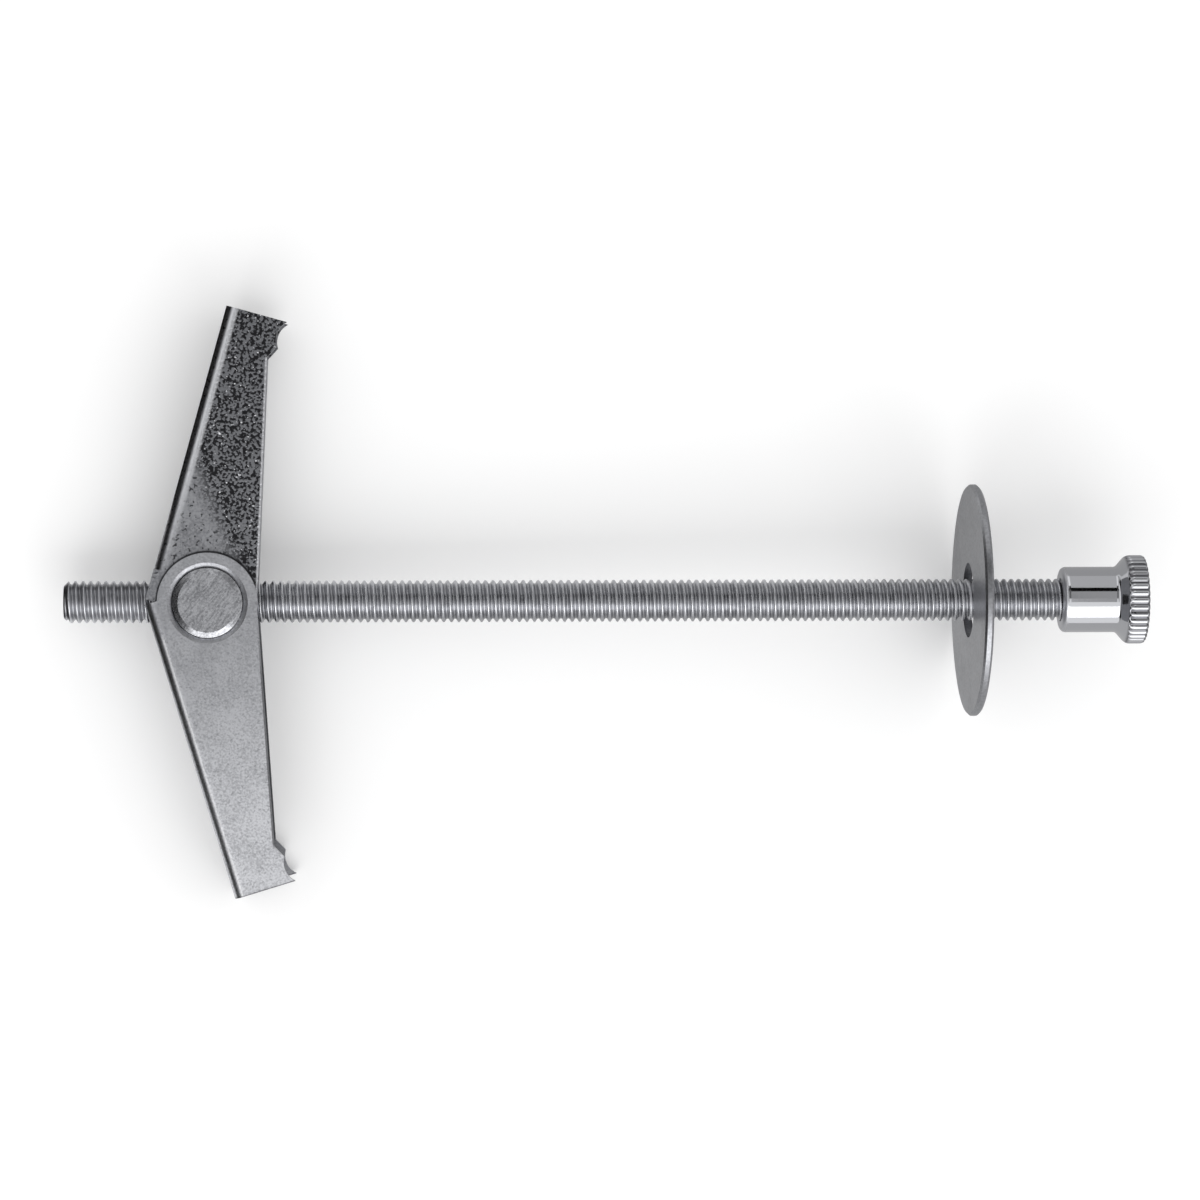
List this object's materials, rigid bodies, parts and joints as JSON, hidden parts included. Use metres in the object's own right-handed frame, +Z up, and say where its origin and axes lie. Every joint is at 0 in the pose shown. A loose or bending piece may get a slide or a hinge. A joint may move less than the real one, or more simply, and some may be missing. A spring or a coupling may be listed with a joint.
{
  "type": "spring toggle anchor",
  "caption": "Spring toggle anchor for hollow panels: folding toothed wings on a threaded rod, with a loose washer and a knurled sleeve nut.",
  "frame": {"origin": "middle of the lying anchor's outline from above, on the surface it rests on", "axes": "+X along the rod towards the sleeve nut, as seen from above; +Y towards the inner wing; +Z up"},
  "size_m": [0.1004, 0.0546, 0.0215],
  "materials": {
    "rod_zinc": "zinc plated thread",
    "trunnion_zinc": "zinc plated, sawn ends",
    "outer_wing_zinc": "zinc plated sheet, fine mottle",
    "inner_wing_zinc": "zinc plated sheet, coarse dark mottle",
    "spring_wire": "drawn spring wire",
    "washer_zinc": "zinc plated, satin",
    "nut_bright": "bright nickel plating"
  },
  "bodies": {
    "rod": {"threaded_rod": "rod_zinc"},
    "toggle": {"trunnion_nut": "trunnion_zinc", "torsion_spring": "spring_wire"},
    "outer_wing": {"outer_wing": "outer_wing_zinc"},
    "inner_wing": {"inner_wing": "inner_wing_zinc"},
    "nut": {"sleeve_nut": "nut_bright"},
    "washer": {"washer": "washer_zinc"}
  },
  "joints": [
    {"name": "toggle_travel", "type": "slide", "parent": "rod", "child": "toggle", "axis": [0.9982, 0, 0.0605], "range_m": [-0.008, 0.016]},
    {"name": "outer_wing_fold", "type": "hinge", "parent": "toggle", "child": "outer_wing", "pos_m": [-0.03685, -0.00002, 0.00511], "axis": [-0.0605, -0.0236, 0.9979], "range_deg": [0, 73.1], "stiffness_Nm_per_rad": 0.02, "springref_deg": -28.65, "deforming": ["torsion_spring"]},
    {"name": "inner_wing_fold", "type": "hinge", "parent": "toggle", "child": "inner_wing", "pos_m": [-0.03685, -0.00002, 0.00511], "axis": [0.0605, 0.0236, -0.9979], "range_deg": [0, 74.5], "stiffness_Nm_per_rad": 0.02, "springref_deg": -28.65, "deforming": ["torsion_spring"]},
    {"name": "nut_travel", "type": "slide", "parent": "rod", "child": "nut", "axis": [0.9982, 0, 0.0605], "range_m": [-0.012, 0.005]},
    {"name": "washer_slide", "type": "slide", "parent": "nut", "child": "washer", "axis": [0.9982, 0, 0.0605], "range_m": [-0.012, 0.0075]}
  ]
}
